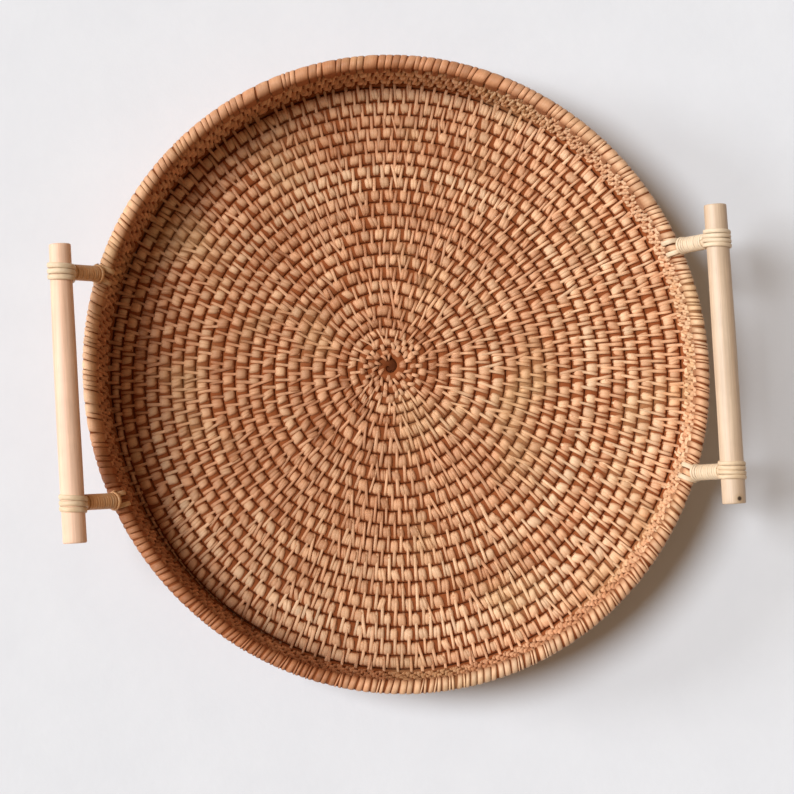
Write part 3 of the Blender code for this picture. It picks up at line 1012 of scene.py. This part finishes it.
def make_stick(handle, facts, material):
    """A straight stick, slightly uneven, with eased edges and ends that are just domed."""
    chamfer = np.array([0.0, 0.12, 0.35, 0.8])
    shrink = np.array([0.90, 0.955, 0.985, 1.0])
    inner = np.linspace(2.5, STICK_LENGTH - 2.5, 70)
    y = np.concatenate([chamfer, inner, STICK_LENGTH - chamfer[::-1]]) - STICK_LENGTH / 2
    size = np.concatenate([shrink, np.ones(len(inner)), shrink[::-1]])
    wobble = 0.006 * np.sin(y / 9.0 + facts["side"]) + 0.008 * np.sin(y / 23.0 + 1.0)
    taper = facts["taper"] * 2 * y / STICK_LENGTH
    turn, across, up = section(STICK_SIDES)
    oval = 1.0 + 0.012 * np.cos(2 * turn + y[:, None] / 40.0)
    radius = STICK_RADIUS * (size * (1.0 + wobble - taper))[:, None] * oval
    bow = 0.25 * np.sin((y + STICK_LENGTH / 2) / STICK_LENGTH * math.pi)[:, None]
    x = facts["side"] * (STICK_X + bow) + radius * across
    body = stacked(x, facts["stick_y"] + y[:, None], STICK_Z + radius * up)
    ends = []
    for edge, outward in ((body[0], -1.0), (body[-1], 1.0)):
        middle = edge.mean(axis=0)
        ends.append([
            middle + share * (edge - middle) + (0.0, outward * dome, 0.0)
            for share, dome in ((0.78, 0.03), (0.45, 0.05), (0.12, 0.06))
        ])
    points = np.concatenate([ends[0][::-1], body, ends[1]])
    shell = Shell()
    shell.add(points, grid_faces(1, len(points), STICK_SIDES, False), 0.0, 0.0)
    node = f"{handle}_handle_stick"
    make_piece(f"{handle}_handle_rod", shell, material, [node])


def make_stick_lashing(name, side, y, material):
    """Cane wound round the stick, bulging where it passes over the post's head."""
    turns, pitch, width = LASHINGS[side]
    foot, _, _ = rim_frame(y, side)
    post_turn = math.atan2(RIM_CENTRE_Z - STICK_Z, foot[0] - side * STICK_X)
    steps = int(turns * 32)
    step = np.arange(steps + 1)
    turn = post_turn + TAU * turns * (step / steps - 0.5) - math.pi * (turns % 2)
    around = np.mod(turn - post_turn + math.pi, TAU) - math.pi
    bulge = 1.5 * np.exp(-((around / 0.62) ** 2))
    tucked = 1.0 - smooth(np.minimum(step, steps - step) / 8.0)
    radius = STICK_RADIUS + 0.5 + bulge - 0.8 * tucked
    outwards = stacked(np.cos(turn), 0 * turn, np.sin(turn))
    centres = np.array([side * STICK_X, y, STICK_Z]) + radius[:, None] * outwards
    centres[:, 1] += np.linspace(-0.5, 0.5, steps + 1) * turns * pitch
    centres[:, 1] += 0.10 * np.sin(turn * 1.7 + y)
    profile = strip_section(width, 1.25, 10, 0.85)
    shell = Shell()
    tube(shell, centres, FORWARD, outwards, profile, (0.74 + 0.06 * side, 0.6, 0.0))
    make_piece(f"{name}_stick_cane", shell, material, [f"{name}_stick_lashing"])


def post_frame(name, side, y):
    """The post's foot and length, and its axes: along it, and two across it."""
    foot, outwards, _ = rim_frame(y, side)
    inwards, rise = FOOT_SHIFT.get(name, (0.0, 0.0))
    foot = foot - inwards * outwards * (1, 0, 0) + (0.0, 0.0, rise)
    head = np.array([side * STICK_X, y, STICK_Z])
    axis = unit(head - foot)
    return foot, np.linalg.norm(head - foot), axis, FORWARD, np.cross(axis, FORWARD)


def foot_flare(distance, side):
    """The post's half width at this distance from the rim's middle line."""
    return POST_RADIUS + FOOT_FLARE[side] * (1.0 - smooth((distance - FOOT_START) / 3.4))


def make_post(name, side, y, material):
    foot, length, axis, across, third = post_frame(name, side, y)
    low, high = FOOT_START, length - POST_END
    distance = np.concatenate([low + np.array([0.0, 0.25, 0.7]), np.linspace(low + 1.4, high, 14)])
    size = foot_flare(distance, side) * np.concatenate([[0.72, 0.9, 0.98], np.ones(14)])
    _, *around = section(20)
    profile = each(size) * stacked(*around)
    centres = foot + distance[:, None] * axis
    shell = Shell()
    # Painted shade: the left posts are darker than the right, for the shade of their sticks, and the
    # posts are a little darker all over
    tube(shell, centres, across, third, profile, (0.55 + 0.2 * side, 0.5, 0.1))
    make_piece(f"{name}_post_cane", shell, material, [f"{name}_post"])


def make_winding(name, side, y, material):
    """Fine cane wound close round the post."""
    foot, length, axis, across, third = post_frame(name, side, y)
    begin, finish = FOOT_START + 0.5, length - POST_END - 2.6
    turns = (finish - begin) / WINDING_PITCH
    steps = int(turns * 24)
    share = np.arange(steps + 1) / steps
    angle = TAU * turns * share
    distance = begin + (finish - begin) * share
    distance = distance + 0.06 * np.sin(angle * 0.37 + y)
    radial = np.cos(angle)[:, None] * across + np.sin(angle)[:, None] * third
    radius = foot_flare(distance, side) + 0.28
    centres = foot + distance[:, None] * axis + radius[:, None] * radial
    profile = strip_section(WINDING_PITCH * 0.97, 0.72, 8, 0.8)
    shell = Shell()
    # Painted shade: the left windings are darker than the right, for the shade of their sticks
    tube(shell, centres, axis, radial, profile, (0.60 + 0.26 * side, 0.5, 0.0))
    make_piece(f"{name}_post_wrapping", shell, material, [f"{name}_post_winding"])


def make_tie(name, side, y, letter, sign, material):
    """A flat strip looped over the rim beside the post's foot."""
    turn = TAU * np.arange(36) / 36
    spread = sign * (TIE_OFFSET - 0.9 * np.clip(np.cos(turn), 0.0, 1.0))
    slant = -0.5 * np.cos(turn)
    centre, outwards, along = rim_frame(y, side)
    lift = RIM_SECTION_RADIUS + 0.62 + 0.1 * np.sin(2 * turn)
    radial = np.cos(turn)[:, None] * outwards + np.sin(turn)[:, None] * UPWARD
    bend = (spread**2 / (2 * RIM_CENTRE_RADIUS))[:, None] * outwards
    centres = centre + lift[:, None] * radial + (spread + slant)[:, None] * along - bend
    profile = strip_section(2.3, 1.0, 10, 0.7)
    arc = np.minimum(turn, TAU - turn) * 5.0
    shell = Shell()
    # Painted shade: the left ties are darker than the right, for the shade on the left handle
    tube(shell, centres, along, radial, profile, (0.62 + 0.16 * side, 0.5, 0.0), True, arc)
    nodes = [f"{name}_rim_tie_{letter}"]
    make_piece(f"{name}_rim_strip_{letter}", shell, material, nodes)


def make_handles(core):
    woods = {
        "left": wood_material("peach_stick", *PEACH_WOOD),
        "right": wood_material("cream_stick", *CREAM_WOOD, KNOT),
    }
    cane = cane_material("lashing_cane", PALE_CANE, LASHING_CREVICE_SHADE, 0.45, specular=0.3)
    for handle, wood in woods.items():
        make_stick(handle, HANDLES[handle], wood)
    for name, side, y in handle_posts():
        make_stick_lashing(name, side, y, cane)
        make_post(name, side, y, core)
        make_winding(name, side, y, cane)
        make_tie(name, side, y, "a", 1, cane)
        make_tie(name, side, y, "b", -1, cane)


# ---------------------------------------------------------------- stage

FLOOR_SIZE = 8.0  # metres, as is its height
FLOOR_Z = -0.0004
CAMERA_DISTANCE = 1030.0
CAMERA_TILT = math.radians(3.2)
CAMERA_ROLL = math.radians(3.3)
CAMERA_LENS = 99.9
LOOK_ACROSS = -0.5  # where the camera looks, from the rim's middle, in its own axes
LOOK_UP = -11.5


def view_axes(up, back):
    right = up.cross(back).normalized()
    return right, back.cross(right)


def make_camera():
    data = bpy.data.cameras.new("camera")
    data.lens = CAMERA_LENS
    data.sensor_width = 36.0
    camera = add_object("camera", data)
    rim = Vector((0.0, 0.0, RIM_CENTRE_Z))
    back = Vector((0.0, -math.sin(CAMERA_TILT), math.cos(CAMERA_TILT)))
    right, up = view_axes(Vector((math.sin(CAMERA_ROLL), math.cos(CAMERA_ROLL), 0.0)), back)
    eye = rim + CAMERA_DISTANCE * back
    back = (eye - (rim - LOOK_ACROSS * right + LOOK_UP * up)).normalized()
    right, up = view_axes(up, back)
    turn = Matrix((right, up, back)).transposed()
    camera.matrix_world = Matrix.LocRotScale(eye * MM, turn, None)
    bpy.context.scene.camera = camera


def sun(name, azimuth, elevation, softness, power, colour):
    """A far lamp; azimuth is where the light comes from, from +X towards +Y."""
    data = bpy.data.lights.new(name, "SUN")
    data.angle = math.radians(softness)
    data.energy = power
    data.color = colour
    lamp = add_object(name, data)
    turn, rise = math.radians(azimuth), math.radians(elevation)
    flat = math.cos(rise)
    away = Vector((flat * math.cos(turn), flat * math.sin(turn), math.sin(rise)))
    lamp.location = away
    lamp.rotation_mode = "QUATERNION"
    lamp.rotation_quaternion = away.to_track_quat("Z", "Y")


def make_world():
    """Warm fill light, in front of a wall as pale as the floor."""
    world = bpy.data.worlds.new("studio")
    bpy.context.scene.world = world
    world.use_nodes = True
    nodes, links = world.node_tree.nodes, world.node_tree.links
    fill = nodes["Background"]
    fill.inputs["Color"].default_value = (1.0, 0.70, 0.46, 1.0)
    fill.inputs["Strength"].default_value = 0.265
    wall = nodes.new("ShaderNodeBackground")
    wall.inputs["Color"].default_value = (0.80, 0.81, 0.83, 1.0)
    seen = nodes.new("ShaderNodeLightPath")
    either = nodes.new("ShaderNodeMixShader")
    links.new(seen.outputs["Is Camera Ray"], either.inputs[0])
    links.new(fill.outputs["Background"], either.inputs[1])
    links.new(wall.outputs["Background"], either.inputs[2])
    links.new(either.outputs["Shader"], nodes["World Output"].inputs["Surface"])


def make_floor():
    half = FLOOR_SIZE / 2
    corners = [(x * half, y * half, FLOOR_Z) for x, y in ((-1, -1), (1, -1), (1, 1), (-1, 1))]
    mesh = bpy.data.meshes.new("floor")
    mesh.from_pydata(corners, [], [(0, 1, 2, 3)])
    made = Shader("pale_floor", 0.85, 0.2)
    place = made.object_place()
    plaster = made.noise(place, 30.0, 5.0, 0.6)
    made.colour(made.mix(plaster, (0.67, 0.69, 0.71, 1.0), (0.73, 0.75, 0.765, 1.0)))
    made.bump(made.noise(place, 160.0, 4.0, 0.6), 0.0004, 0.25)
    mesh.materials.append(made.material)
    floor = add_object("floor", mesh)


def main():
    bpy.context.scene.view_settings.view_transform = "Standard"
    make_camera()
    make_world()
    sun("window", 163.0, 57.0, 26.0, 2.93, (0.965, 1.0, 1.06))
    sun("low_window", 168.0, 20.0, 18.0, 1.6, (0.965, 1.0, 1.065))
    make_floor()
    strip = cane_material("cane_strip", CANE_TONES, CREVICE_SHADE, 0.48)
    core = cane_material("cane_core", CORE_TONES, PIT_SHADE, 0.75, specular=0.1)
    pale_core = cane_material("post_cane", PALE_CANE, POST_CREVICE_SHADE, 0.5)
    edge = make_base(strip, core)
    make_side(edge, strip, core)
    make_rim(strip, core)
    make_handles(pale_core)


main()
